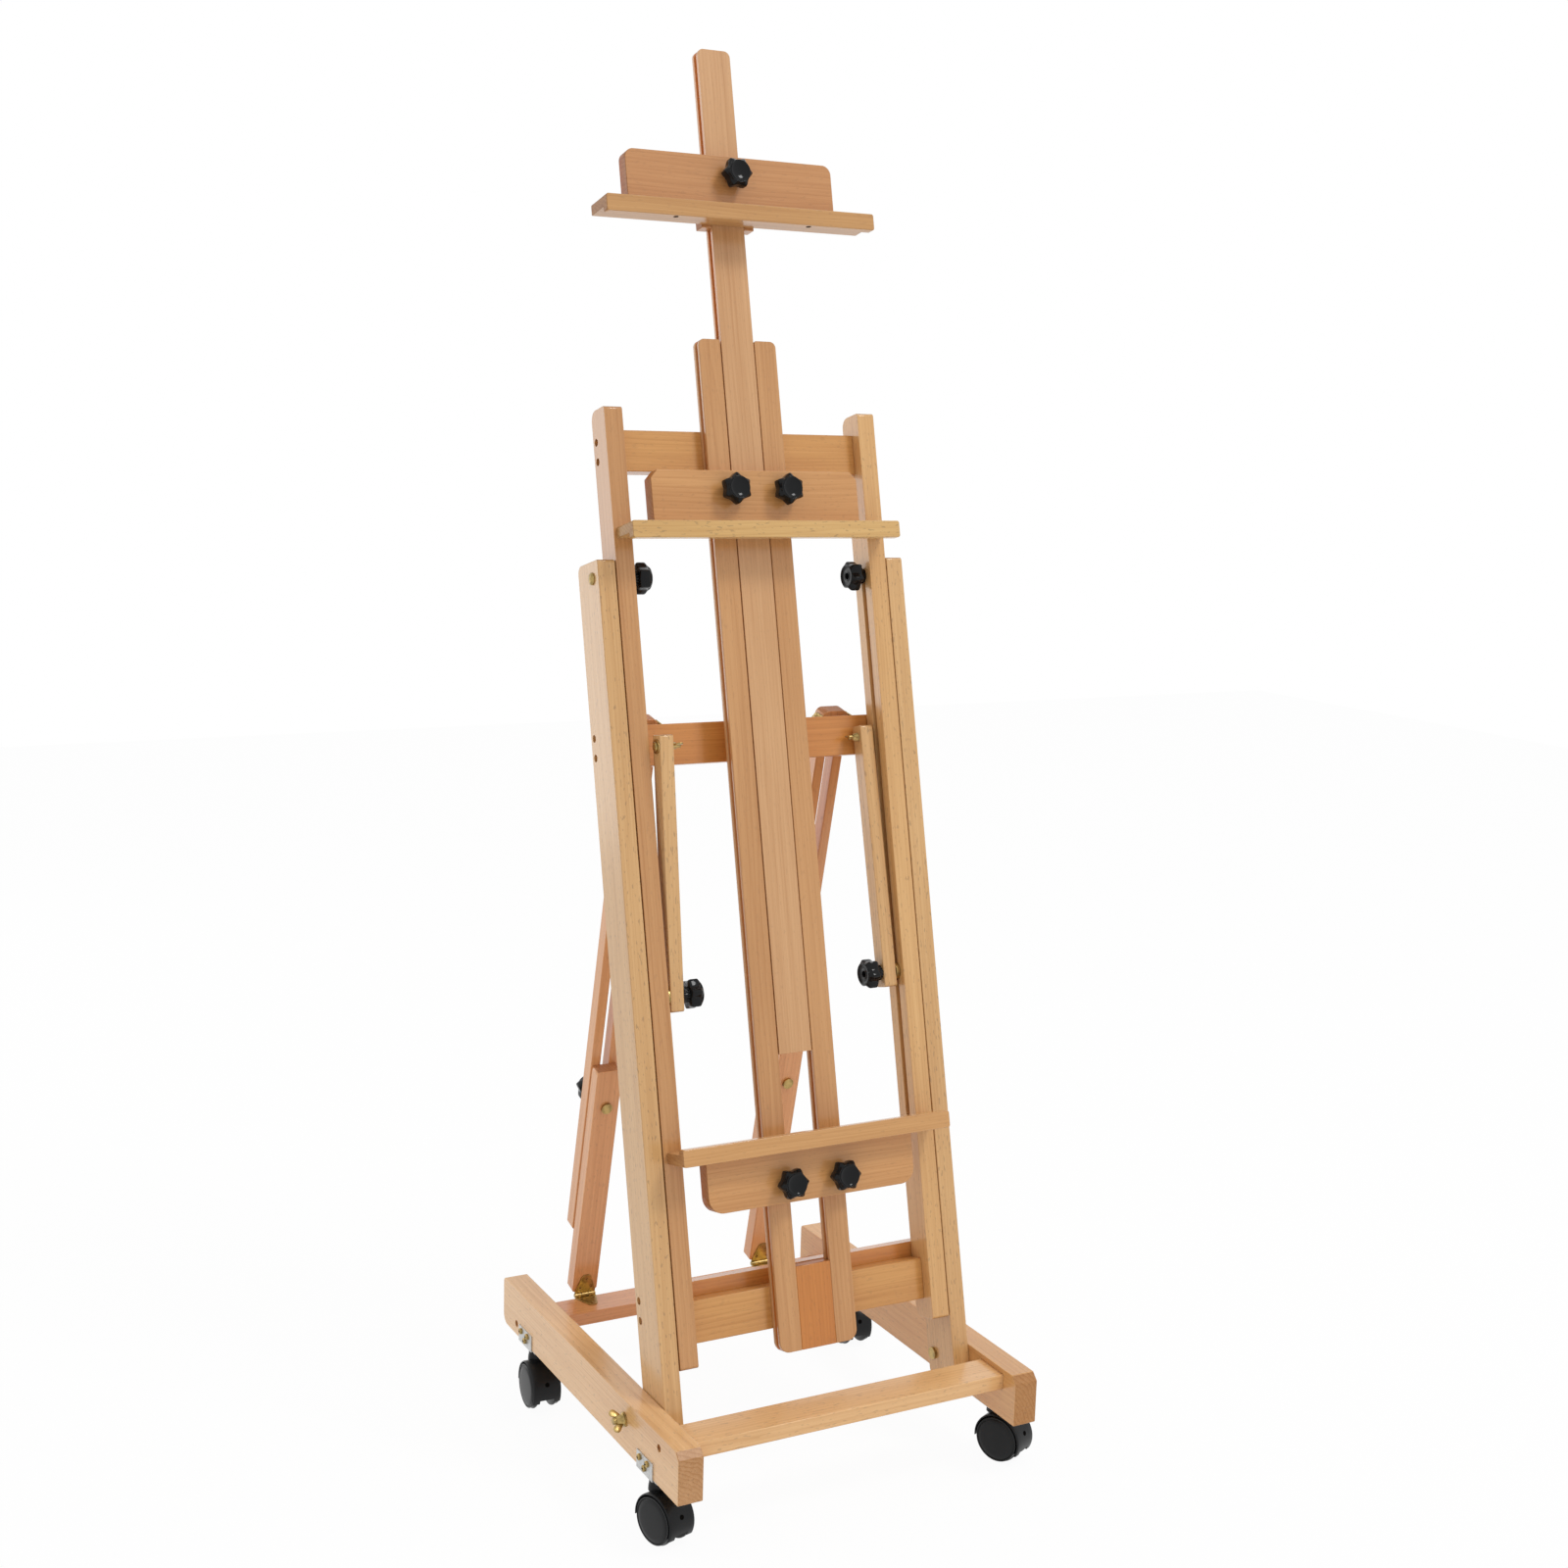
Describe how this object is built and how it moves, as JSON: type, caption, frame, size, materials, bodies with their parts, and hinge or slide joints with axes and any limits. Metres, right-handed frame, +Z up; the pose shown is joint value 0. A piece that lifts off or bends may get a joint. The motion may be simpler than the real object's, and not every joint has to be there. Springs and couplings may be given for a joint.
{
  "type": "artist easel",
  "caption": "Wooden H-frame studio easel on a caster base, with a tilting inner frame, a sliding mast, canvas holders and telescoping rear legs.",
  "frame": {"origin": "on the floor, under the middle of the easel's outline", "axes": "+X to the easel's right as seen from the front, +Y to its back, +Z up"},
  "size_m": [0.5379, 0.554, 1.7506],
  "materials": {
    "beech": "satin",
    "knob_black": "gloss",
    "caster_black": "satin",
    "zinc_plate": "satin",
    "brass": "satin"
  },
  "bodies": {
    "base": {"left_runner": "beech", "right_runner": "beech", "front_cross_bar": "beech", "rear_cross_bar": "beech", "base_fittings": "brass", "caster_plates": "zinc_plate"},
    "outer_frame": {"left_outer_post": "beech", "right_outer_post": "beech", "outer_upper_bar": "beech", "outer_lower_bar": "beech", "outer_frame_fittings": "brass"},
    "tilt_bolts": {"tilt_bolts": "brass"},
    "inner_frame": {"left_inner_post": "beech", "right_inner_post": "beech", "inner_upper_bar": "beech", "inner_lower_bar": "beech", "left_rail": "beech", "right_rail": "beech", "rail_foot_block": "beech", "inner_frame_screws": "brass"},
    "mast": {"mast": "beech"},
    "top_holder": {"top_holder_plate": "beech", "top_holder_ledge": "beech"},
    "middle_holder": {"middle_holder_plate": "beech", "middle_holder_ledge": "beech"},
    "bottom_holder": {"bottom_holder_plate": "beech", "bottom_holder_ledge": "beech"},
    "left_tilt_knob": {"left_tilt_knob": "knob_black"},
    "left_arm_slider": {"left_arm_slider": "brass"},
    "left_arm": {"left_arm": "beech"},
    "left_arm_knob": {"left_arm_knob": "knob_black"},
    "left_arm_wing_nut": {"left_arm_wing_nut": "brass"},
    "left_base_wing_nut": {"left_base_wing_nut": "brass"},
    "left_lower_leg": {"left_lower_leg": "beech", "left_leg_fittings": "brass"},
    "left_upper_leg": {"left_upper_leg": "beech"},
    "left_leg_knob": {"left_leg_knob": "knob_black"},
    "right_tilt_knob": {"right_tilt_knob": "knob_black"},
    "right_arm_slider": {"right_arm_slider": "brass"},
    "right_arm": {"right_arm": "beech"},
    "right_arm_knob": {"right_arm_knob": "knob_black"},
    "right_arm_wing_nut": {"right_arm_wing_nut": "brass"},
    "right_base_wing_nut": {"right_base_wing_nut": "brass"},
    "right_lower_leg": {"right_lower_leg": "beech", "right_leg_fittings": "brass"},
    "right_upper_leg": {"right_upper_leg": "beech"},
    "right_leg_knob": {"right_leg_knob": "knob_black"},
    "top_holder_knob": {"top_holder_knob": "knob_black"},
    "middle_holder_left_knob": {"middle_holder_left_knob": "knob_black"},
    "middle_holder_right_knob": {"middle_holder_right_knob": "knob_black"},
    "bottom_holder_left_knob": {"bottom_holder_left_knob": "knob_black"},
    "bottom_holder_right_knob": {"bottom_holder_right_knob": "knob_black"},
    "front_left_caster_hood": {"front_left_caster_hood": "caster_black"},
    "front_left_caster_wheels": {"front_left_caster_wheels": "caster_black"},
    "front_right_caster_hood": {"front_right_caster_hood": "caster_black"},
    "front_right_caster_wheels": {"front_right_caster_wheels": "caster_black"},
    "rear_left_caster_hood": {"rear_left_caster_hood": "caster_black"},
    "rear_left_caster_wheels": {"rear_left_caster_wheels": "caster_black"},
    "rear_right_caster_hood": {"rear_right_caster_hood": "caster_black"},
    "rear_right_caster_wheels": {"rear_right_caster_wheels": "caster_black"}
  },
  "joints": [
    {"name": "frame_tilt", "type": "hinge", "parent": "base", "child": "outer_frame", "pos_m": [0, -0.126, 0.113], "axis": [1, 0, 0], "range_deg": [-7, 5]},
    {"name": "inner_frame_tilt", "type": "hinge", "parent": "outer_frame", "child": "tilt_bolts", "pos_m": [0, 0.07965, 1.09919], "axis": [-1, 0, 0], "range_deg": [0, 90]},
    {"name": "inner_frame_lift", "type": "slide", "parent": "tilt_bolts", "child": "inner_frame", "axis": [0, 0.2317, 0.9728], "range_m": [0, 0.16]},
    {"name": "mast_height", "type": "slide", "parent": "inner_frame", "child": "mast", "axis": [0, 0.2317, 0.9728], "range_m": [-0.09, 0.45]},
    {"name": "top_holder_height", "type": "slide", "parent": "mast", "child": "top_holder", "axis": [0, 0.2317, 0.9728], "range_m": [-0.045, 0.12]},
    {"name": "middle_holder_height", "type": "slide", "parent": "inner_frame", "child": "middle_holder", "axis": [0, 0.2317, 0.9728], "range_m": [-0.22, 0.15]},
    {"name": "bottom_holder_height", "type": "slide", "parent": "inner_frame", "child": "bottom_holder", "axis": [0, 0.2317, 0.9728], "range_m": [-0.17, 0.25]},
    {"name": "left_tilt_knob_spin", "type": "hinge", "parent": "tilt_bolts", "child": "left_tilt_knob", "pos_m": [-0.1649, 0.07965, 1.09919], "axis": [1, 0, 0], "continuous": true},
    {"name": "left_arm_height", "type": "slide", "parent": "inner_frame", "child": "left_arm_slider", "axis": [0, 0.2317, 0.9728], "range_m": [-0.17, 0.16]},
    {"name": "left_arm_swing", "type": "hinge", "parent": "left_arm_slider", "child": "left_arm", "pos_m": [-0.15, -0.03855, 0.60307], "axis": [1, 0, 0], "range_deg": [-7, 105]},
    {"name": "left_arm_knob_spin", "type": "hinge", "parent": "left_arm_slider", "child": "left_arm_knob", "pos_m": [-0.141, -0.03855, 0.60307], "axis": [1, 0, 0], "continuous": true},
    {"name": "left_arm_wing_nut_spin", "type": "hinge", "parent": "left_arm", "child": "left_arm_wing_nut", "pos_m": [-0.15, 0.00415, 0.90305], "axis": [1, 0, 0], "continuous": true},
    {"name": "left_base_wing_nut_spin", "type": "hinge", "parent": "outer_frame", "child": "left_base_wing_nut", "pos_m": [-0.25, -0.126, 0.113], "axis": [1, 0, 0], "continuous": true},
    {"name": "left_leg_swing", "type": "hinge", "parent": "base", "child": "left_lower_leg", "pos_m": [-0.1365, 0.2545, 0.102], "axis": [1, 0, 0], "range_deg": [-6.3, 4.5]},
    {"name": "left_leg_extension", "type": "slide", "parent": "left_lower_leg", "child": "left_upper_leg", "axis": [0, -0.2239, 0.9746], "range_m": [-0.047, 0.034]},
    {"name": "left_leg_knob_spin", "type": "hinge", "parent": "left_lower_leg", "child": "left_leg_knob", "pos_m": [-0.1365, 0.23059, 0.39816], "axis": [0, 0.9746, 0.2239], "continuous": true},
    {"name": "right_tilt_knob_spin", "type": "hinge", "parent": "tilt_bolts", "child": "right_tilt_knob", "pos_m": [0.1649, 0.07965, 1.09919], "axis": [1, 0, 0], "continuous": true},
    {"name": "right_arm_height", "type": "slide", "parent": "inner_frame", "child": "right_arm_slider", "axis": [0, 0.2317, 0.9728], "range_m": [-0.17, 0.16]},
    {"name": "right_arm_swing", "type": "hinge", "parent": "right_arm_slider", "child": "right_arm", "pos_m": [0.15, -0.03855, 0.60307], "axis": [1, 0, 0], "range_deg": [-0.4, 110]},
    {"name": "right_arm_knob_spin", "type": "hinge", "parent": "right_arm_slider", "child": "right_arm_knob", "pos_m": [0.141, -0.03855, 0.60307], "axis": [1, 0, 0], "continuous": true},
    {"name": "right_arm_wing_nut_spin", "type": "hinge", "parent": "right_arm", "child": "right_arm_wing_nut", "pos_m": [0.15, 0.03886, 0.89602], "axis": [1, 0, 0], "continuous": true},
    {"name": "right_base_wing_nut_spin", "type": "hinge", "parent": "outer_frame", "child": "right_base_wing_nut", "pos_m": [0.25, -0.126, 0.113], "axis": [1, 0, 0], "continuous": true},
    {"name": "right_leg_swing", "type": "hinge", "parent": "base", "child": "right_lower_leg", "pos_m": [0.1365, 0.2545, 0.102], "axis": [1, 0, 0], "range_deg": [-6.3, 4.5]},
    {"name": "right_leg_extension", "type": "slide", "parent": "right_lower_leg", "child": "right_upper_leg", "axis": [0, -0.2239, 0.9746], "range_m": [-0.047, 0.034]},
    {"name": "right_leg_knob_spin", "type": "hinge", "parent": "right_lower_leg", "child": "right_leg_knob", "pos_m": [0.1365, 0.23059, 0.39816], "axis": [0, 0.9746, 0.2239], "continuous": true},
    {"name": "top_holder_knob_spin", "type": "hinge", "parent": "top_holder", "child": "top_holder_knob", "pos_m": [0, 0.15591, 1.59107], "axis": [0, 0.9728, -0.2317], "continuous": true},
    {"name": "middle_holder_left_knob_spin", "type": "hinge", "parent": "middle_holder", "child": "middle_holder_left_knob", "pos_m": [-0.0365, 0.06446, 1.20719], "axis": [0, 0.9728, -0.2317], "continuous": true},
    {"name": "middle_holder_right_knob_spin", "type": "hinge", "parent": "middle_holder", "child": "middle_holder_right_knob", "pos_m": [0.0365, 0.06446, 1.20719], "axis": [0, 0.9728, -0.2317], "continuous": true},
    {"name": "bottom_holder_left_knob_spin", "type": "hinge", "parent": "bottom_holder", "child": "bottom_holder_left_knob", "pos_m": [-0.0365, -0.13249, 0.38049], "axis": [0, 0.9728, -0.2317], "continuous": true},
    {"name": "bottom_holder_right_knob_spin", "type": "hinge", "parent": "bottom_holder", "child": "bottom_holder_right_knob", "pos_m": [0.0365, -0.13249, 0.38049], "axis": [0, 0.9728, -0.2317], "continuous": true},
    {"name": "front_left_caster_swivel", "type": "hinge", "parent": "base", "child": "front_left_caster_hood", "pos_m": [-0.2368, -0.2025, 0.06], "axis": [0, 0, 1], "continuous": true},
    {"name": "front_left_wheel_spin", "type": "hinge", "parent": "front_left_caster_hood", "child": "front_left_caster_wheels", "pos_m": [-0.23306, -0.21599, 0.03], "axis": [0.9636, 0.2672, 0], "continuous": true},
    {"name": "front_right_caster_swivel", "type": "hinge", "parent": "base", "child": "front_right_caster_hood", "pos_m": [0.2368, -0.2025, 0.06], "axis": [0, 0, 1], "continuous": true},
    {"name": "front_right_wheel_spin", "type": "hinge", "parent": "front_right_caster_hood", "child": "front_right_caster_wheels", "pos_m": [0.24283, -0.21514, 0.03], "axis": [0.9026, 0.4305, 0], "continuous": true},
    {"name": "rear_left_caster_swivel", "type": "hinge", "parent": "base", "child": "rear_left_caster_hood", "pos_m": [-0.2368, 0.1795, 0.06], "axis": [0, 0, 1], "continuous": true},
    {"name": "rear_left_wheel_spin", "type": "hinge", "parent": "rear_left_caster_hood", "child": "rear_left_caster_wheels", "pos_m": [-0.23741, 0.16551, 0.03], "axis": [0.999, -0.0436, 0], "continuous": true},
    {"name": "rear_right_caster_swivel", "type": "hinge", "parent": "base", "child": "rear_right_caster_hood", "pos_m": [0.2368, 0.1795, 0.06], "axis": [0, 0, 1], "continuous": true},
    {"name": "rear_right_wheel_spin", "type": "hinge", "parent": "rear_right_caster_hood", "child": "rear_right_caster_wheels", "pos_m": [0.23619, 0.16551, 0.03], "axis": [0.999, -0.0436, 0], "continuous": true}
  ],
  "couplings": [
    {"joint": "left_leg_swing", "follows": "frame_tilt", "ratio": 0.8918},
    {"joint": "left_leg_extension", "follows": "frame_tilt", "m_per_rad": 0.375},
    {"joint": "right_leg_swing", "follows": "frame_tilt", "ratio": 0.8918},
    {"joint": "right_leg_extension", "follows": "frame_tilt", "m_per_rad": 0.375}
  ]
}
